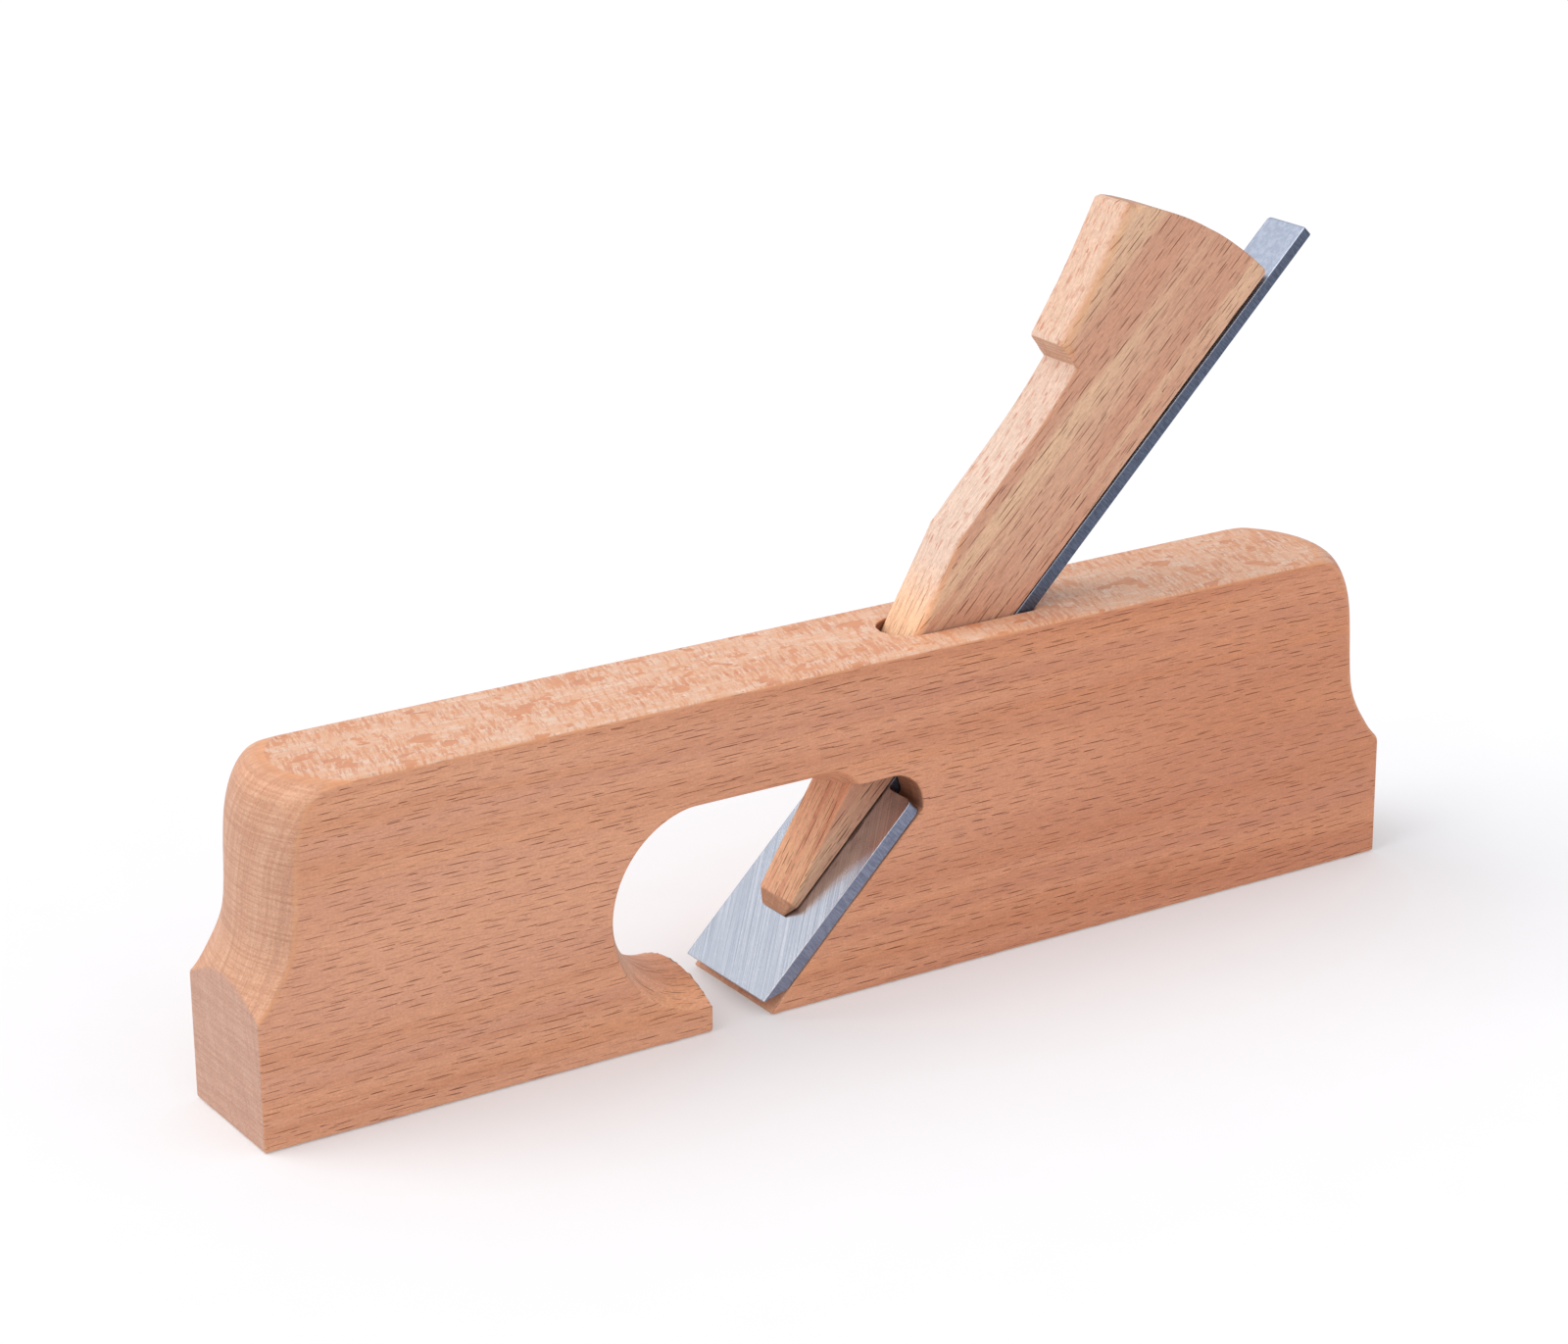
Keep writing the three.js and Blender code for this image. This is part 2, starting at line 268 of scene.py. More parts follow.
def mortise(x, y, z):
    t = -(x - BED_X) * S + z * C
    m = (x - _px) * M2[0] + (z - _pz) * M2[1]
    up = (x - _px) * W2[0] + (z - _pz) * W2[1]
    slab = np.maximum(np.maximum(-t, m), np.abs(y) - MORTISE)
    drill = np.maximum(np.hypot(m, y) - MORTISE, -up)
    return np.minimum(slab, drill)


def stock(x, y, z, k=1.0):
    d = round_max(np.abs(y) - WIDTH / 2, z - HEIGHT, 1.5 * k)
    rho = np.hypot(np.maximum(np.abs(x) - NOSE_X, 0), y)
    d = round_max(d, nose_outline(rho + 0 * z, z + 0 * rho), 0.9 * k)
    d = round_max(d, -z, 0.35 * k)
    return round_max(d, np.abs(x) - LENGTH / 2, 0.3 * k)


def body_field(x, y, z):
    return round_max(round_max(stock(x, y, z), -throat(x, y, z), 0.45), -mortise(x, y, z), 0.4)


def body_sharp(x, y, z):
    return np.maximum(np.maximum(stock(x, y, z, 0.02), -throat(x, y, z)), -mortise(x, y, z))


bx = steps((-135.6, -133.8, 0.3), (-133.8, -84, 0.8), (-84, -62, 2.0), (-62, 18, 0.66), (18, 44, 0.85), (44, 84, 2.2), (84, 133.8, 0.82), (133.8, 135.6, 0.3))
by = steps((-15.5, -12.6, 0.36), (-12.6, 12.6, 0.84), (12.6, 15.5, 0.36))
bz = steps((-0.5, 1.0, 0.3), (1.0, 25, 0.92), (25, 28, 0.5), (28, 66, 0.82), (66, 71.0, 0.4))


# ---------------------------------------------------------------------------
# Wedge and iron, in the bed's own coordinates: s up the bed, t square to it
# ---------------------------------------------------------------------------
def front(s):
    return ABUT_T + (s - ABUT_S) * TAPER


wedge_line = (
    [(17.6, BACK), (185.1, BACK), (185.6, 3.9)]
    + spline([(185.8, 4.6), (185.7, 6.5), (185.45, 9.3), (184.8, 13.6), (183.95, 18.0), (183.0, 21.5), (180.9, 28.0), (178.2, 34.2), (175.4, 39.6), (173.9, 42.1)], 5)
    + spline([(172.8, 42.8), (164.0, 40.1), (155.0, 37.6), (143.4, 35.05)], 5)
    + [(142.75, 34.7), (142.5, 34.2), (141.9, 29.0), (141.6, 28.75)]
    + spline([(141.0, 28.65), (135.5, 27.9), (128.5, 27.25), (120.0, 26.9), (112.5, 26.8), (106.5, 26.7), (103.3, 26.5)], 5)
    + [(100.2, front(100.2)), (ABUT_S, ABUT_T), (21.0, 5.63), (20.3, 5.35)]
)
wedge_outline = Outline(wedge_line, 0.12)


def wedge_field(s, y, t, k=1.0):
    edge_t = np.where(s < 100.2, front(s), np.where(s < 142, 27.0, 35.0 + (s - 143.4) * 0.26))
    near_front = step01((t - edge_t + 4.8) / 2.4)
    hand = 0.25 + 0.75 * step01((2.0 - y) / 4.0)
    r = 0.45 + near_front * (0.3 + hand * (1.0 * (1 - step01((s - 96) / 7)) + 1.7 * step01((s - 140.5) / 3)))
    r = np.where(s < 70, 0.24 + (r - 0.24) * step01((s - 20) / 50), r)
    d = round_max(wedge_outline(s + 0 * t, t + 0 * s), np.abs(y) - WEDGE_H, r * k)
    corner = (-(s - 17.2) * 2.8 + (np.abs(y) - 3.6) * 4.2) / 5.05
    return round_max(d, corner, 0.35 * k)


bw, tw = BLADE_H, TANG_H
iron_line = (
    [(EDGE_S - 0.0, -bw)] + arc(SHOULDER_S - 1.8, -bw + 1.8, 1.8, -math.pi / 2, 0)
    + arc(SHOULDER_S + 1.2, -tw - 1.2, 1.2, math.pi, math.pi / 2)
    + [(TOP_S - 0.3, -tw), (TOP_S, -tw + 0.3), (TOP_S, tw - 0.6), (TOP_S - 0.6, tw)]
    + arc(SHOULDER_S + 1.2, tw + 1.2, 1.2, -math.pi / 2, -math.pi)
    + arc(SHOULDER_S - 1.8, bw - 1.8, 1.8, 0, math.pi / 2) + [(EDGE_S, bw)]
)
iron_outline = Outline(iron_line, 0.12, 2.0)
HONE = math.radians(30)
# the tang gets thinner above the body
IRON_BACK = ((100.0, 200.5), (IRON_LO, 0.15))
IRON_FRONT = ((100.0, 180.0, 200.5), (IRON_HI, 2.70, 2.63))


def iron_field(s, y, t, k=1.0):
    flat = np.maximum(np.interp(s, *IRON_BACK) - t, t - np.interp(s, *IRON_FRONT))
    d = round_max(iron_outline(s + 0 * y, y + 0 * s), flat, 0.22 * k)
    bevel = (IRON_HI - 0.1 - t) * math.cos(HONE) - (s - EDGE_S) * math.sin(HONE)
    return round_max(d, bevel, 0.03)


def from_bed(P):
    s, y, t = P.T
    return np.stack([BED_X + s * C - t * S, y, s * S + t * C], 1)


def turn_bed(N):
    s, y, t = N.T
    return np.stack([s * C - t * S, y, s * S + t * C], 1)


# ---------------------------------------------------------------------------
# Materials
# ---------------------------------------------------------------------------
def lin(r, g, b, light=1.0):
    """A colour as it looks, as the surface colour that looks so when lit this strongly."""
    out = []
    for v in (r, g, b):
        v /= 255.0
        out.append((v / 12.92 if v <= 0.04045 else ((v + 0.055) / 1.055) ** 2.4) / light)
    return (*out, 1.0)


class Nodes:
    def __init__(self, name):
        self.mat = bpy.data.materials.new(name)
        self.mat.use_nodes = True
        self.t = self.mat.node_tree
        self.t.nodes.clear()
        self.count = 0

    def add(self, kind, **props):
        n = self.t.nodes.new(kind)
        n.location = (220 * (self.count % 12), -260 * (self.count // 12))
        self.count += 1
        for key, value in props.items():
            setattr(n, key, value)
        return n

    def put(self, socket, value):
        if isinstance(value, bpy.types.NodeSocket):
            self.t.links.new(value, socket)
        elif value is not None:
            socket.default_value = value

    def math(self, op, a, b=None, c=None, clamp=False):
        n = self.add("ShaderNodeMath", operation=op, use_clamp=clamp)
        for i, v in enumerate((a, b, c)):
            if v is not None:
                self.put(n.inputs[i], v)
        return n.outputs[0]

    def vmath(self, op, a, b=None):
        n = self.add("ShaderNodeVectorMath", operation=op)
        self.put(n.inputs[0], a)
        if b is not None:
            self.put(n.inputs[1], b)
        return n.outputs["Value"] if op in ("DOT_PRODUCT", "LENGTH", "DISTANCE") else n.outputs[0]

    def combine(self, x, y, z):
        n = self.add("ShaderNodeCombineXYZ")
        for i, v in enumerate((x, y, z)):
            self.put(n.inputs[i], v)
        return n.outputs[0]

    def split(self, v):
        n = self.add("ShaderNodeSeparateXYZ")
        self.put(n.inputs[0], v)
        return n.outputs

    def noise(self, vec, scale=1.0, detail=2.0, rough=0.5, distort=0.0):
        n = self.add("ShaderNodeTexNoise")
        self.put(n.inputs["Vector"], vec)
        n.inputs["Scale"].default_value = scale
        n.inputs["Detail"].default_value = detail
        n.inputs["Roughness"].default_value = rough
        n.inputs["Distortion"].default_value = distort
        return n.outputs["Fac"]

    def band(self, v, lo, hi, a=0.0, b=1.0):
        n = self.add("ShaderNodeMapRange", interpolation_type="SMOOTHSTEP")
        self.put(n.inputs["Value"], v)
        for key, value in (("From Min", lo), ("From Max", hi), ("To Min", a), ("To Max", b)):
            self.put(n.inputs[key], value)
        return n.outputs[0]

    def mix(self, f, a, b, blend="MIX"):
        n = self.add("ShaderNodeMix", data_type="RGBA", blend_type=blend)
        self.put(n.inputs["Factor"], f)
        self.put(n.inputs["A"] if False else n.inputs[6], a)
        self.put(n.inputs[7], b)
        return n.outputs[2]

    def blend(self, f, a, b):
        n = self.add("ShaderNodeMix", data_type="FLOAT")
        self.put(n.inputs[0], f)
        self.put(n.inputs[2], a)
        self.put(n.inputs[3], b)
        return n.outputs[0]

    def dashes(self, vec, cell, half, shape_lo=0.55, seed=0.0, lean=0.0, square=False, least=0.4):
        """One short dash in each cell: vec is (along, across, through) in mm, cell its spacing, half its half length and half width. Returns coverage 0..1 and a random value for each dash."""
        a = self.vmath("ADD", self.vmath("MULTIPLY", vec, tuple(1 / c for c in cell)), (seed, seed * 0.7, seed * 1.3))
        v = self.add("ShaderNodeTexVoronoi", feature="F1", distance="EUCLIDEAN", voronoi_dimensions="3D")
        self.put(v.inputs["Vector"], a)
        v.inputs["Scale"].default_value = 1.0
        v.inputs["Randomness"].default_value = 0.9
        d = self.vmath("SUBTRACT", a, v.outputs["Position"])
        dx, dz, dy = self.split(self.vmath("MULTIPLY", d, tuple(cell)))
        rnd = self.split(v.outputs["Color"])
        size = self.blend(rnd[0], least, 1.25)
        if lean:
            dz = self.math("ADD", dz, self.math("MULTIPLY", dx, self.blend(rnd[2], -lean, lean)))
        ex = self.math("DIVIDE", dx, self.math("MULTIPLY", size, half[0]))
        ez = self.math("DIVIDE", dz, self.math("MULTIPLY", self.blend(rnd[1], 0.6, 1.15), half[1]))
        if square:
            e = self.math("MAXIMUM", self.math("ABSOLUTE", ex), self.math("ABSOLUTE", ez))
        else:
            e = self.math("SQRT", self.math("ADD", self.math("MULTIPLY", ex, ex), self.math("MULTIPLY", ez, ez)))
        return self.band(e, shape_lo, 1.0, 1.0, 0.0), rnd[1]


def wood(name, P, local):
    """Beech. local(N) gives the piece's own coordinates in mm: along the grain, across the width, and through the height. P holds the palette and amounts."""
    N = Nodes(name)
    x, y, z, nx, ny, nz = local(N)
    # how much the surface faces sideways, upwards or along the grain
    ay, az, ax = (N.math("POWER", N.math("ABSOLUTE", v), 3.0) for v in (ny, nz, nx))
    tot = N.math("ADD", N.math("ADD", ax, ay), N.math("ADD", az, 1e-4))
    side, top, end = (N.math("DIVIDE", v, tot) for v in (ay, az, ax))
    cut = N.add("ShaderNodeAttribute", attribute_name="cut").outputs["Fac"]
    nose = N.band(N.add("ShaderNodeAttribute", attribute_name="nose").outputs["Fac"], 0.42, 0.58)
    nose = N.math("MULTIPLY", N.math("MULTIPLY", nose, N.band(N.math("ABSOLUTE", y), 14.97, 14.8)), N.math("MULTIPLY", N.band(z, 20.0, 24.0), N.band(x, 0.0, 10.0, 1.0, 0.45)))
    top = N.math("MULTIPLY", N.math("MULTIPLY", N.band(top, 0.25, 0.9), N.math("SUBTRACT", 1.0, cut)), N.math("SUBTRACT", 1.0, nose))
    end = N.math("MAXIMUM", N.band(end, 0.25, 0.9), N.math("MULTIPLY", nose, 0.85))
    end = N.math("MAXIMUM", end, N.band(x, *P["tip"]))
    p = N.combine(x, y, z)
    sway = N.noise(N.vmath("MULTIPLY", p, (0.013, 0.03, 0.03)), 1.0, 2.0, 0.5)
    zw = N.math("ADD", z, N.math("MULTIPLY", N.math("SUBTRACT", sway, 0.5), P["sway"]))
    # growth layers: curved sheets that lie nearly parallel to the side faces
    dz = N.math("SUBTRACT", zw, P["heart_z"])
    bow = N.math("MULTIPLY", N.math("MULTIPLY", dz, dz), P["bow"])
    slow = N.noise(N.vmath("MULTIPLY", p, (0.006, 0.02, 0.035)), 1.0, 3.0, 0.55)
    w = N.math("ADD", N.math("ADD", y, bow), N.math("MULTIPLY", slow, P["slow"]))
    ring_v = N.combine(N.math("MULTIPLY", w, P["ring"]), N.math("MULTIPLY", x, 0.004), 0.0)
    ring = N.noise(ring_v, 1.0, 2.5, 0.55)
    ring_fine = N.noise(N.combine(N.math("MULTIPLY", w, P["ring"] * 3.6), N.math("MULTIPLY", x, 0.01), N.math("MULTIPLY", z, 0.03)), 1.0, 3.0, 0.6)
    tone = N.noise(N.vmath("MULTIPLY", p, (0.007, 0.05, P["tone_z"])), 1.0, 3.0, 0.55)
    fibre = N.noise(N.combine(N.math("MULTIPLY", x, 0.28), N.math("MULTIPLY", y, 1.8), N.math("MULTIPLY", zw, 3.0)), 1.0, 2.0, 0.6)
    grit = N.noise(N.vmath("MULTIPLY", p, (1.7, 2.6, 2.8)), 1.0, 2.0, 0.65)
    late = N.math("MAXIMUM", N.band(N.math("ABSOLUTE", N.math("ADD", w, P["late"][0])), 0.25, 0.9, 1.0, 0.0),
                  N.band(N.math("ABSOLUTE", N.math("ADD", w, P["late"][1])), 0.1, 0.55, 0.8, 0.0))

    # side: flat-sawn face, warm bands and the ends of the rays as dashes
    c_side = N.mix(N.band(ring, 0.38, 0.62), P["side_a"], P["side_b"])
    c_side = N.mix(N.math("MULTIPLY", N.band(tone, 0.48, 0.68), P["tone"]), c_side, P["side_c"])
    c_side = N.mix(N.math("MULTIPLY", N.band(tone, 0.5, 0.32), P["warm"]), c_side, P["side_d"])
    c_side = N.mix(N.math("MULTIPLY", late, 0.45), c_side, P["side_c"])
    flat = N.math("GREATER_THAN", N.math("ABSOLUTE", nz), N.math("ABSOLUTE", ny))
    fl = N.combine(x, N.blend(flat, zw, y), N.math("MULTIPLY", N.blend(flat, y, z), 0.06))
    d1, r1 = N.dashes(fl, P["cell1"], P["half1"], 0.5, 3.7, 0.012, False, 0.6)
    d2, r2 = N.dashes(fl, P["cell2"], P["half2"], 0.45, 11.2, 0.012)
    d3, r3 = N.dashes(fl, P["cell3"], P["half3"], 0.3, 23.9)
    thin = N.band(N.noise(N.vmath("MULTIPLY", p, (0.02, 0.05, 0.08)), 1.0, 2.0, 0.5), 0.3, 0.6, 0.8, 1.0)
    d1 = N.math("MULTIPLY", d1, N.blend(r1, 0.65, 1.0))
    d2 = N.math("MULTIPLY", d2, N.blend(r2, 0.1, 0.7))
    d3 = N.math("MULTIPLY", d3, N.blend(r3, 0.0, 0.22))
    dash = N.math("MULTIPLY", N.math("MAXIMUM", d1, N.math("MAXIMUM", d2, d3)), thin)
    dash = N.math("MULTIPLY", dash, P["dash"])

    # top: nearly quarter-sawn, pale, with the rays as flecks and patches
    tv = N.combine(y, x, N.math("MULTIPLY", z, 0.08))
    if P["top_along"]:
        tv = N.combine(x, y, N.math("MULTIPLY", z, 0.08))
    if P["patch"]:
        tv = N.combine(y, N.math("SUBTRACT", x, N.math("MULTIPLY", y, 0.27)), N.math("MULTIPLY", z, 0.06))
    t1, q1 = N.dashes(tv, P["tcell1"], P["thalf1"], 0.6, 5.1, 0.12)
    t2, q2 = N.dashes(tv, P["tcell2"], P["thalf2"], 0.45, 17.3, 0.25)
    ragged = N.noise(N.vmath("MULTIPLY", p, P["rag"]), 1.0, 2.0, 0.6)
    rag = N.band(ragged, 0.34, 0.52, 0.15, 1.0)
    fleck = N.math("MAXIMUM", N.math("MULTIPLY", t1, N.blend(q1, 0.35, 1.0)), N.math("MULTIPLY", t2, N.blend(q2, 0.2, 0.8)))
    fleck = N.math("MULTIPLY", fleck, rag)
    fleck = N.math("MAXIMUM", fleck, N.math("MULTIPLY", N.band(ragged, 0.55, 0.72), 0.5))
    if P["patch"]:
        # rays cut nearly along their length: streaks across the width, leaning a little, and a few broad patches
        xl = N.math("SUBTRACT", x, N.math("MULTIPLY", y, 0.27))
        zf = N.math("MULTIPLY", z, 0.06)
        f1 = N.noise(N.combine(N.math("MULTIPLY", xl, 0.95), N.math("MULTIPLY", y, 0.15), zf), 1.0, 3.0, 0.6)
        f2 = N.noise(N.combine(N.math("MULTIPLY", xl, 1.9), N.math("MULTIPLY", y, 0.3), N.math("ADD", zf, 7.0)), 1.0, 2.0, 0.6)
        f3 = N.noise(N.combine(N.math("MULTIPLY", xl, 0.15), N.math("MULTIPLY", y, 0.2), N.math("ADD", zf, 3.0)), 1.0, 3.0, 0.5)
        dense = N.noise(N.combine(N.math("MULTIPLY", x, 0.05), N.math("MULTIPLY", y, 0.12), N.math("ADD", zf, 11.0)), 1.0, 1.0, 0.5)
        thick = N.band(dense, 0.35, 0.65, 0.06, -0.04)
        f1 = N.math("MULTIPLY", N.band(N.math("SUBTRACT", f1, thick), 0.555, 0.6), 0.8)
        f2 = N.math("MULTIPLY", N.band(N.math("SUBTRACT", f2, thick), 0.54, 0.6), 0.5)
        f3 = N.math("MULTIPLY", N.band(f3, 0.607, 0.62), P["patch"])
        streak = N.math("MAXIMUM", N.math("MULTIPLY", t1, N.blend(q1, 0.35, 1.0)), N.math("MULTIPLY", t2, N.blend(q2, 0.2, 0.9)))
        streak = N.math("MULTIPLY", streak, N.band(dense, 0.35, 0.62, 0.5, 1.0))
        fleck = N.math("MAXIMUM", N.math("MAXIMUM", N.math("MAXIMUM", f1, f2), f3), streak)
    fleck = N.math("MULTIPLY", fleck, P["fleck"])
    c_top = N.mix(N.band(ring_fine, 0.35, 0.68), P["top_a"], P["top_b"])
    c_top = N.mix(N.math("MULTIPLY", N.band(tone, 0.45, 0.7), 0.5), c_top, P["top_c"])
    c_top = N.mix(fleck, c_top, P["top_fleck"])

    # end grain: fine growth lines crossed by finer rays, a few darker late bands
    rays = N.noise(N.combine(N.math("MULTIPLY", x, 0.02), N.math("MULTIPLY", y, 0.06), N.math("MULTIPLY", zw, 2.2)), 1.0, 1.0, 0.5)
    lines = N.noise(N.combine(N.math("MULTIPLY", w, 2.3), N.math("MULTIPLY", x, 0.02), N.math("MULTIPLY", z, 0.05)), 1.0, 1.0, 0.5)
    c_end = N.mix(N.math("MULTIPLY", N.band(ring, 0.36, 0.64), 0.8), P["end_a"], P["end_b"])
    c_end = N.mix(N.math("MULTIPLY", N.band(lines, 0.45, 0.65), 0.4), c_end, P["end_c"])
    c_end = N.mix(N.math("MULTIPLY", N.band(rays, 0.42, 0.62), 0.5), c_end, P["end_d"])
    c_end = N.mix(N.math("MULTIPLY", late, 0.6), c_end, P["end_e"])
    # the turned nose is warmer, the sawn end plane is paler and greyer
    face = N.band(N.math("ABSOLUTE", x), P["end_x"], P["end_x"] + 0.1)
    c_end = N.mix(N.math("SUBTRACT", 1.0, face), c_end, P["end_warm"], "MULTIPLY")
    c_end = N.mix(N.math("MULTIPLY", face, 0.35), c_end, P["end_face"])

    col = N.mix(top, c_side, c_top)
    col = N.mix(end, col, c_end)
    long = N.math("MULTIPLY", dash, N.math("SUBTRACT", 1.0, N.math("MULTIPLY", N.math("MAXIMUM", top, end), P["over"])))
    col = N.mix(long, col, P["dash_c"])
    shade = N.math("ADD", N.math("MULTIPLY", N.math("SUBTRACT", fibre, 0.5), P["fibre"]), N.math("MULTIPLY", N.math("SUBTRACT", grit, 0.5), P["grit"]))
    col = N.mix(N.math("MULTIPLY", N.band(x, *P["along"]), N.blend(top, *P["along_f"])), col, P["along_c"], "MULTIPLY")
    hsv = N.add("ShaderNodeHueSaturation")
    N.put(hsv.inputs["Value"], N.math("ADD", shade, 1.0))
    N.put(hsv.inputs["Color"], col)
    col = hsv.outputs[0]
    # handled edges are a little warmer; painted light brightens the up-facing cut surfaces, and painted shade darkens
    # the cut walls at the throat's rear, in the mortise and at the wedge's tip
    edge = N.add("ShaderNodeAttribute", attribute_name="edge").outputs["Fac"]
    worn = N.math("MULTIPLY", edge, N.band(N.noise(N.vmath("MULTIPLY", p, (0.2, 0.5, 0.5)), 1.0, 2.0, 0.6), 0.3, 0.6, 0.35, 1.0))
    col = N.mix(N.math("MULTIPLY", worn, P["edge"]), col, P["edge_c"])
    # painted light: up-facing cut surfaces (the throat's floor, the wedge's tongue front) are brightened by the
    # multiplier below
    col = N.mix(N.math("MULTIPLY", N.math("MULTIPLY", cut, P["cut"]), N.band(nz, 0.0, 0.7)), col, P["cut_painted_light_c"], "MULTIPLY")
    # painted shade: cut walls in the given range are darkened, at the throat's rear and in the mortise on the body, and
    # at the tongue's tip on the wedge
    col = N.mix(N.math("MULTIPLY", N.math("MULTIPLY", cut, P["painted_shade_amount"]), N.band(x, *P["painted_shade_span"])), col, (0.62, 0.58, 0.55, 1.0), "MULTIPLY")
    # painted light: the up-facing parts of the turned nose are brightened, most at the toe end
    col = N.mix(N.math("MULTIPLY", nose, N.band(nz, 0.1, 0.75)), col, (1.16, 1.15, 1.12, 1.0), "MULTIPLY")

    rough = N.blend(dash, P["rough"], P["rough"] + 0.14)
    rough = N.math("SUBTRACT", N.math("ADD", rough, N.math("MULTIPLY", N.math("SUBTRACT", grit, 0.5), 0.16)), N.math("MULTIPLY", worn, 0.1))
    height = N.math("SUBTRACT", N.math("ADD", N.math("MULTIPLY", fibre, 0.5), N.math("MULTIPLY", grit, 0.25)), N.math("MULTIPLY", long, 0.9))
    height = N.math("SUBTRACT", height, N.math("MULTIPLY", N.math("MULTIPLY", fleck, top), 0.3))
    bump = N.add("ShaderNodeBump")
    bump.inputs["Strength"].default_value = 0.4
    bump.inputs["Distance"].default_value = 0.0001
    N.put(bump.inputs["Height"], height)
    sh = N.add("ShaderNodeBsdfPrincipled")
    N.put(sh.inputs["Base Color"], col)
    N.put(sh.inputs["Roughness"], rough)
    N.put(sh.inputs["Normal"], bump.outputs[0])
    sh.inputs["Specular IOR Level"].default_value = 0.32
    out = N.add("ShaderNodeOutputMaterial")
    N.t.links.new(sh.outputs[0], out.inputs[0])
    return N.mat


def body_local(N):
    co = N.add("ShaderNodeTexCoord")
    v = N.vmath("MULTIPLY", co.outputs["Object"], (1000.0, 1000.0, 1000.0))
    x, y, z = N.split(v)
    nx, ny, nz = N.split(co.outputs["Normal"])
    return x, y, z, nx, ny, nz


def bed_local(N):
    co = N.add("ShaderNodeTexCoord")
    v = N.vmath("MULTIPLY", co.outputs["Object"], (1000.0, 1000.0, 1000.0))
    s = N.math("ADD", N.vmath("DOT_PRODUCT", v, (C, 0.0, S)), -BED_X * C)
    t = N.math("ADD", N.vmath("DOT_PRODUCT", v, (-S, 0.0, C)), BED_X * S)
    y = N.split(v)[1]
    n = co.outputs["Normal"]
    ns = N.vmath("DOT_PRODUCT", n, (C, 0.0, S))
    nt = N.vmath("DOT_PRODUCT", n, (-S, 0.0, C))
    ny = N.split(n)[1]
    return s, y, t, ns, ny, nt


body_mat = wood("beech_body", dict(
    side_a=lin(220, 160, 127), side_b=lin(208, 145, 111), side_c=lin(207, 149, 123), side_d=lin(223, 159, 117),
    tone=0.3, warm=0.55, tone_z=0.17, sway=2.2, heart_z=38.0, bow=0.0065, slow=5.0, ring=0.42, late=(9.0, 11.5),
    cell1=(8.2, 1.8, 1.0), half1=(3.5, 0.12), cell2=(6.4, 1.4, 1.0), half2=(2.2, 0.1), cell3=(3.2, 0.8, 1.0), half3=(0.9, 0.08),
    # this line also sets the x range and amount of the painted shade on the cut walls at the throat's rear and in the
    # mortise
    dash=1.0, dash_c=lin(122, 71, 48), top_along=False, tip=(-1000.0, -1001.0), painted_shade_span=(1.0, 9.0), painted_shade_amount=1.0, over=0.82, end_x=134.8, end_warm=(1.1, 1.07, 1.01, 1.0), end_face=lin(218, 175, 157, 1.25), rag=(0.75, 0.2, 0.5),
    tcell1=(6.2, 2.3, 1.0), thalf1=(2.7, 0.46), tcell2=(3.6, 1.4, 1.0), thalf2=(1.4, 0.27), patch=0.9,
    fleck=0.95, top_a=lin(253, 228, 208, 1.17), top_b=lin(248, 217, 196, 1.17), top_c=lin(246, 211, 188, 1.17), top_fleck=lin(214, 134, 102, 1.17),
    end_a=lin(222, 176, 150, 1.25), end_b=lin(213, 163, 136, 1.25), end_c=lin(196, 144, 120, 1.25), end_d=lin(192, 138, 112, 1.25), end_e=lin(194, 144, 120, 1.25),
    along=(-90.0, 80.0), along_f=(1.0, 0.15), along_c=(0.93, 0.83, 0.78, 1.0),
    # this line also sets the amount and colour multiplier of the painted light on up-facing cut surfaces
    fibre=0.5, grit=0.5, edge=0.62, edge_c=lin(232, 162, 114, 1.05), cut=1.0, cut_painted_light_c=(1.2, 1.3, 1.35, 1.0), rough=0.56), body_local)

wedge_mat = wood("beech_wedge", dict(
    side_a=lin(226, 186, 154), side_b=lin(208, 154, 126), side_c=lin(211, 153, 124), side_d=lin(228, 187, 152),
    tone=0.5, warm=0.8, tone_z=0.2, sway=1.6, heart_z=20.0, bow=0.004, slow=7.0, ring=0.5, late=(60.0, 60.0),
    cell1=(8.4, 1.7, 1.0), half1=(3.6, 0.14), cell2=(5.4, 1.2, 1.0), half2=(2.1, 0.12), cell3=(3.4, 0.85, 1.0), half3=(1.0, 0.09),
    # this line also sets the s range and amount of the painted shade on the tongue's tip
    dash=1.0, dash_c=lin(112, 63, 41), top_along=True, tip=(20.9, 20.4), painted_shade_span=(20.9, 20.4), painted_shade_amount=0.6, over=0.72, end_x=1000.0, end_warm=(1.0, 1.0, 1.0, 1.0), end_face=lin(218, 175, 157), rag=(0.3, 0.8, 0.5),
    tcell1=(5.5, 2.4, 1.0), thalf1=(1.6, 0.32), tcell2=(3.2, 1.5, 1.0), thalf2=(0.8, 0.18), patch=0.0,
    fleck=0.75, top_a=lin(254, 224, 204, 1.29), top_b=lin(249, 215, 193, 1.29), top_c=lin(246, 207, 183, 1.29), top_fleck=lin(212, 124, 88, 1.29),
    end_a=lin(224, 180, 151, 1.1), end_b=lin(214, 166, 137, 1.1), end_c=lin(196, 148, 120, 1.1), end_d=lin(182, 132, 104, 1.1), end_e=lin(186, 140, 116, 1.1),
    along=(139.0, 147.0), along_f=(0.0, 1.0), along_c=(1.0, 0.91, 0.84, 1.0),
    # this line also sets the amount and colour multiplier of the painted light on the tongue's up-facing front
    fibre=0.5, grit=0.45, edge=0.45, edge_c=lin(226, 158, 108, 1.1), cut=1.0, cut_painted_light_c=(1.3, 1.25, 1.17, 1.0), rough=0.56), bed_local)


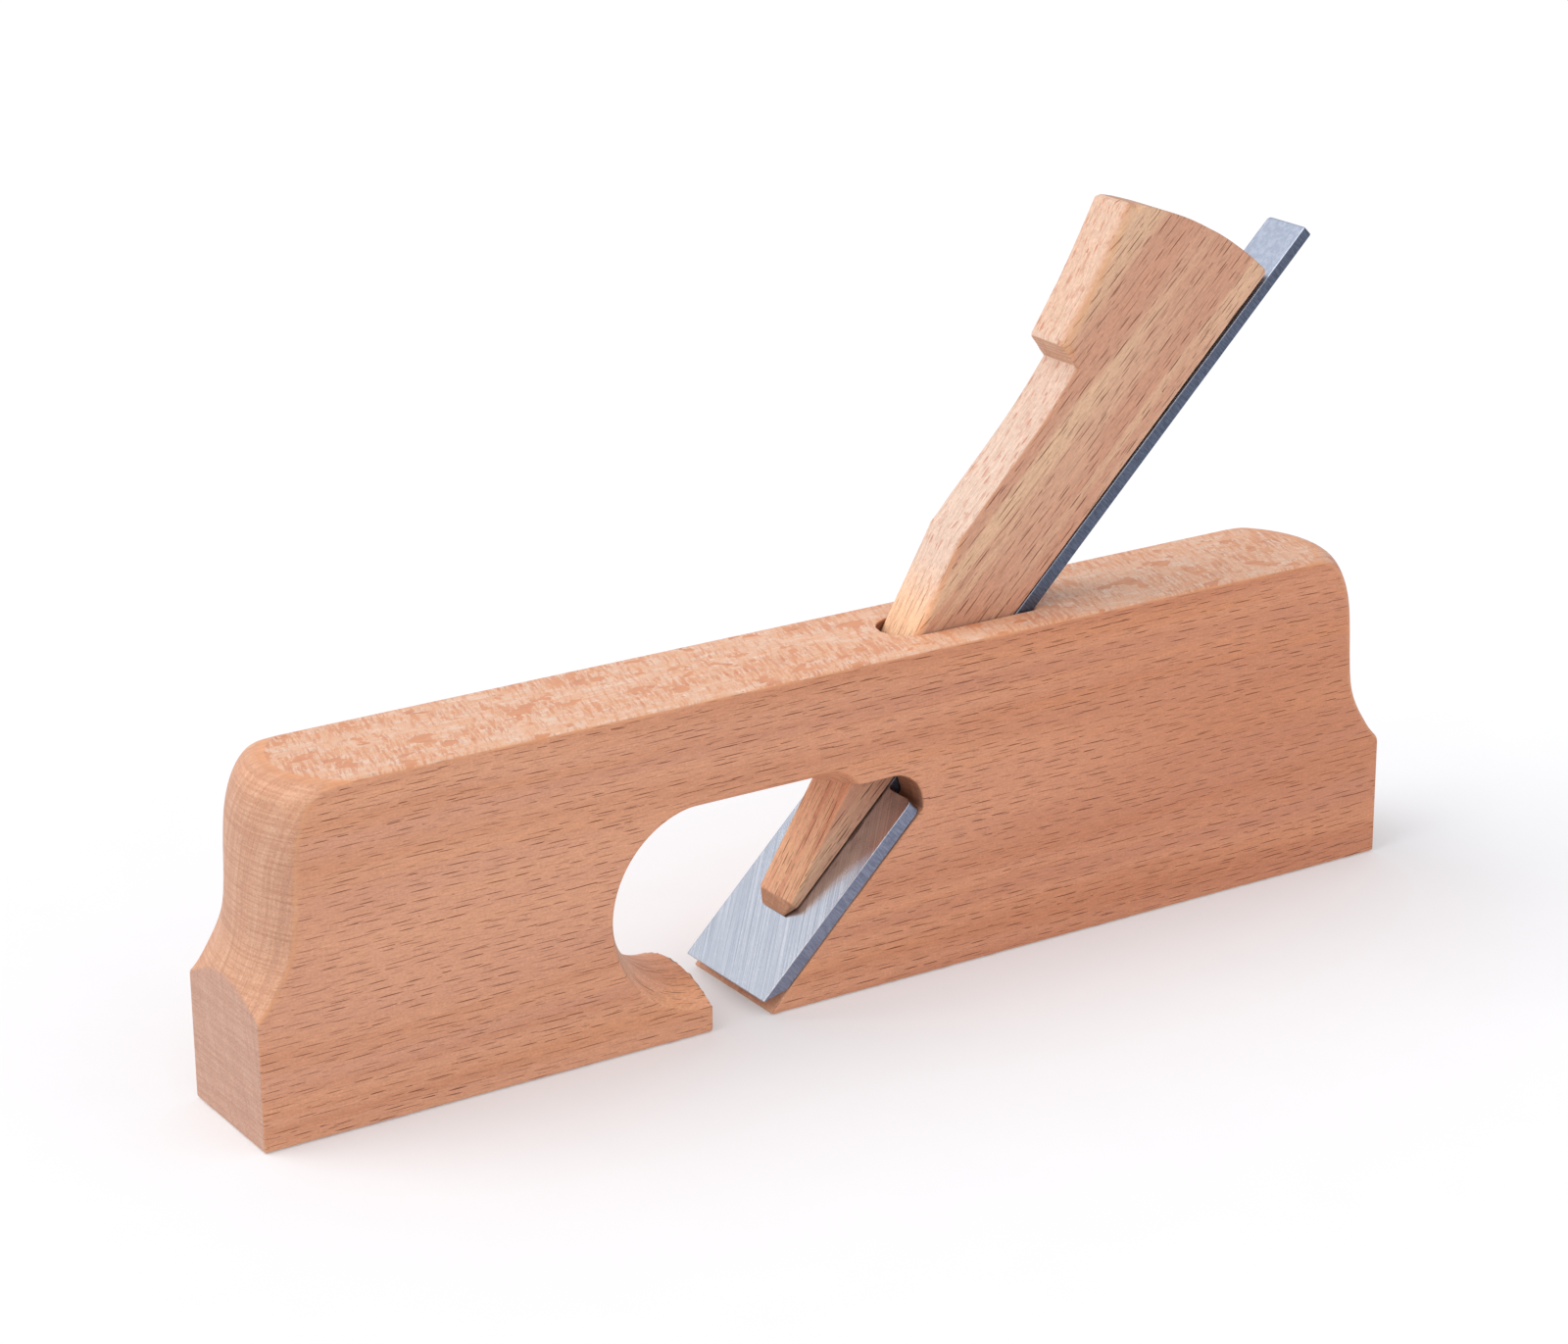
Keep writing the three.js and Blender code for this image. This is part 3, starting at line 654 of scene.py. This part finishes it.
def steel(name):
    N = Nodes(name)
    s, y, t, ns, ny, nt = bed_local(N)
    p = N.combine(s, y, t)
    lean = N.math("ADD", y, N.math("MULTIPLY", s, -0.7))
    line = N.noise(N.combine(N.math("MULTIPLY", s, 0.03), N.math("MULTIPLY", lean, 4.2), 0.0), 1.0, 4.0, 0.65)
    wide = N.noise(N.combine(N.math("MULTIPLY", s, 0.02), N.math("MULTIPLY", lean, 0.7), 0.0), 1.0, 2.0, 0.5)
    cross = N.noise(N.combine(N.math("MULTIPLY", s, 3.2), N.math("MULTIPLY", y, 0.3), N.math("MULTIPLY", t, 0.5)), 1.0, 3.0, 0.65)
    spots = N.noise(N.vmath("MULTIPLY", p, (0.9, 0.9, 0.9)), 1.0, 4.0, 0.7)
    sides = N.band(N.math("ABSOLUTE", ny), 0.5, 0.9)
    upper = N.band(s, 54.0, 64.0)
    face = N.mix(N.band(line, 0.35, 0.66), lin(186, 192, 206), lin(228, 231, 240))
    face = N.mix(N.math("MULTIPLY", N.band(wide, 0.4, 0.7), 0.45), face, lin(186, 192, 206))
    face = N.mix(N.math("MULTIPLY", upper, 0.95), face, N.mix(N.band(spots, 0.4, 0.62), lin(166, 175, 194), lin(184, 192, 208)))
    edge_low = N.mix(N.band(cross, 0.35, 0.65), lin(116, 122, 142), lin(142, 148, 168))
    edge_high = N.mix(N.band(cross, 0.35, 0.65), lin(80, 88, 105), lin(103, 111, 130))
    flank = N.mix(upper, edge_low, edge_high)
    col = N.mix(sides, face, flank)
    col = N.mix(N.math("MULTIPLY", N.band(spots, 0.62, 0.78), 0.35), col, lin(96, 98, 108))
    worn = N.add("ShaderNodeAttribute", attribute_name="edge").outputs["Fac"]
    col = N.mix(N.math("MULTIPLY", worn, 0.35), col, lin(226, 230, 238))
    rough = N.math("ADD", N.math("MULTIPLY", line, 0.14), N.blend(upper, 0.14, 0.26))
    rough = N.blend(sides, rough, N.math("ADD", N.math("MULTIPLY", cross, 0.2), 0.36))
    rough = N.math("ADD", rough, N.math("MULTIPLY", N.band(spots, 0.55, 0.8), 0.14))
    h = N.blend(sides, line, cross)
    bump = N.add("ShaderNodeBump")
    bump.inputs["Strength"].default_value = 0.3
    bump.inputs["Distance"].default_value = 0.00004
    N.put(bump.inputs["Height"], h)
    sh = N.add("ShaderNodeBsdfPrincipled")
    sh.inputs["Metallic"].default_value = 1.0
    N.put(sh.inputs["Base Color"], col)
    N.put(sh.inputs["Roughness"], rough)
    N.put(sh.inputs["Normal"], bump.outputs[0])
    out = N.add("ShaderNodeOutputMaterial")
    N.t.links.new(sh.outputs[0], out.inputs[0])
    return N.mat


steel_mat = steel("ground_steel")

# ---------------------------------------------------------------------------
# Pieces
# ---------------------------------------------------------------------------
P, Q, Nn = skin(body_field, bx, by, bz)
edge = np.clip(-body_sharp(*P.T) / 0.22, 0, 1)
inner = np.maximum(step01(1 - np.abs(throat(*P.T)) / 0.25), step01(1 - np.abs(mortise(*P.T)) / 0.25))
rho = np.hypot(np.maximum(np.abs(P[:, 0]) - NOSE_X, 0), P[:, 1])
turned = np.where(np.abs(P[:, 0]) > NOSE_X, np.clip(0.5 + (rho - 17.1) / 3, 0, 1), 0)
body = make_piece("beech_stock", P, Q, Nn, body_mat, (("edge", edge), ("cut", inner), ("nose", turned)))
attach(body, "body")
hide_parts("plane_body")

ws = steps((16.9, 24, 0.45), (24, 98, 0.7), (98, 106, 0.5), (106, 140, 0.7), (140, 146, 0.4), (146, 170, 0.7), (170, 186.4, 0.5))
wy = steps((-6.4, -3.6, 0.28), (-3.6, 3.6, 0.72), (3.6, 6.4, 0.28))
wt = steps((3.3, 5.0, 0.25), (5.0, 43.6, 0.55))
P, Q, Nn = skin(wedge_field, ws, wy, wt)
edge = np.clip(-wedge_field(*P.T, 0.02) / 0.3, 0, 1)
cut = step01((96 - P[:, 0]) / 18)
wedge = make_piece("beech_wedge", from_bed(P), Q, turn_bed(Nn), wedge_mat, (("edge", edge), ("cut", cut)))
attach(wedge, "wedge")
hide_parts("wedge")

ist = steps((0.4, 8, 0.3), (8, 48, 0.9), (48, 54, 0.35), (54, 194, 1.4), (194, 199.0, 0.35))
iy = steps((-15.1, -14.3, 0.16), (-14.3, -7.6, 0.7), (-7.6, -5.4, 0.2), (-5.4, 5.4, 0.72), (5.4, 7.6, 0.2), (7.6, 14.3, 0.7), (14.3, 15.1, 0.16))
it = steps((-0.05, 0.7, 0.12), (0.7, 2.4, 0.25), (2.4, 3.6, 0.12))
P, Q, Nn = skin(iron_field, ist, iy, it)
edge = np.clip(-iron_field(*P.T, 0.02) / 0.07, 0, 1)
iron = make_piece("steel_iron", from_bed(P), Q, turn_bed(Nn), steel_mat, (("edge", edge),))
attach(iron, "iron")
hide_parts("iron")

for ob in (body, wedge, iron):
    print(ob.name, len(ob.data.vertices), "points", len(ob.data.polygons), "faces")

# ---------------------------------------------------------------------------
# Stage: pale floor, soft light, camera
# ---------------------------------------------------------------------------
N = Nodes("pale_floor")
co = N.add("ShaderNodeTexCoord")
fn = N.noise(co.outputs["Object"], 60.0, 2.0, 0.5)
sh = N.add("ShaderNodeBsdfPrincipled")
N.put(sh.inputs["Base Color"], N.mix(fn, (0.76, 0.76, 0.775, 1), (0.78, 0.78, 0.795, 1)))
sh.inputs["Roughness"].default_value = 0.9
sh.inputs["Specular IOR Level"].default_value = 0.0
sh.inputs["Emission Color"].default_value = (1.0, 1.0, 1.0, 1)
sh.inputs["Emission Strength"].default_value = 0.16
out = N.add("ShaderNodeOutputMaterial")
N.t.links.new(sh.outputs[0], out.inputs[0])
me = bpy.data.meshes.new("floor")
R = 5.0
me.from_pydata([(-R, -R, -0.0003), (R, -R, -0.0003), (R, R, -0.0003), (-R, R, -0.0003)], [], [(0, 1, 2, 3)])
me.materials.append(N.mat)
floor = bpy.data.objects.new("floor", me)
bpy.context.scene.collection.objects.link(floor)

world = bpy.data.worlds.new("studio")
world.use_nodes = True
world.node_tree.nodes["Background"].inputs["Color"].default_value = (0.94, 0.962, 1.0, 1)
world.node_tree.nodes["Background"].inputs["Strength"].default_value = 0.74
bpy.context.scene.world = world


def soft_sun(name, at, strength, spread, color=(1, 1, 1)):
    light = bpy.data.lights.new(name, "SUN")
    light.energy = strength
    light.angle = math.radians(spread)
    light.color = color
    ob = bpy.data.objects.new(name, light)
    ob.location = at
    ob.rotation_euler = (-Vector(at)).to_track_quat("-Z", "Y").to_euler()
    bpy.context.scene.collection.objects.link(ob)
    return ob


soft_sun("key", (-0.75, 0.3, 0.95), 1.5, 60, (1.0, 0.975, 0.94))
soft_sun("fill", (0.4, -1.2, 0.6), 0.35, 90, (1.0, 0.96, 0.92))

# Camera at the photograph's viewing angle
az, el, roll = math.radians(-32.59), math.radians(19.65), math.radians(-0.471)
back = Vector((math.sin(az) * math.cos(el), -math.cos(az) * math.cos(el), math.sin(el)))
right = (-back).cross(Vector((0, 0, 1))).normalized()
up = right.cross(-back)
r2 = right * math.cos(roll) + up * math.sin(roll)
u2 = up * math.cos(roll) - right * math.sin(roll)
target = Vector((-0.009418, 0.0, 0.06611))
cam_data = bpy.data.cameras.new("camera")
cam_data.sensor_fit = "HORIZONTAL"
cam_data.sensor_width = 36.0
cam_data.lens = 4105.0 / 1600.0 * 36.0
cam_data.clip_start, cam_data.clip_end = 0.02, 30
cam = bpy.data.objects.new("camera", cam_data)
cam.matrix_world = Matrix.Translation(target + back * 0.8052) @ Matrix((r2, u2, back)).transposed().to_4x4()
bpy.context.scene.collection.objects.link(cam)
bpy.context.scene.camera = cam
bpy.context.scene.view_settings.view_transform = "Standard"
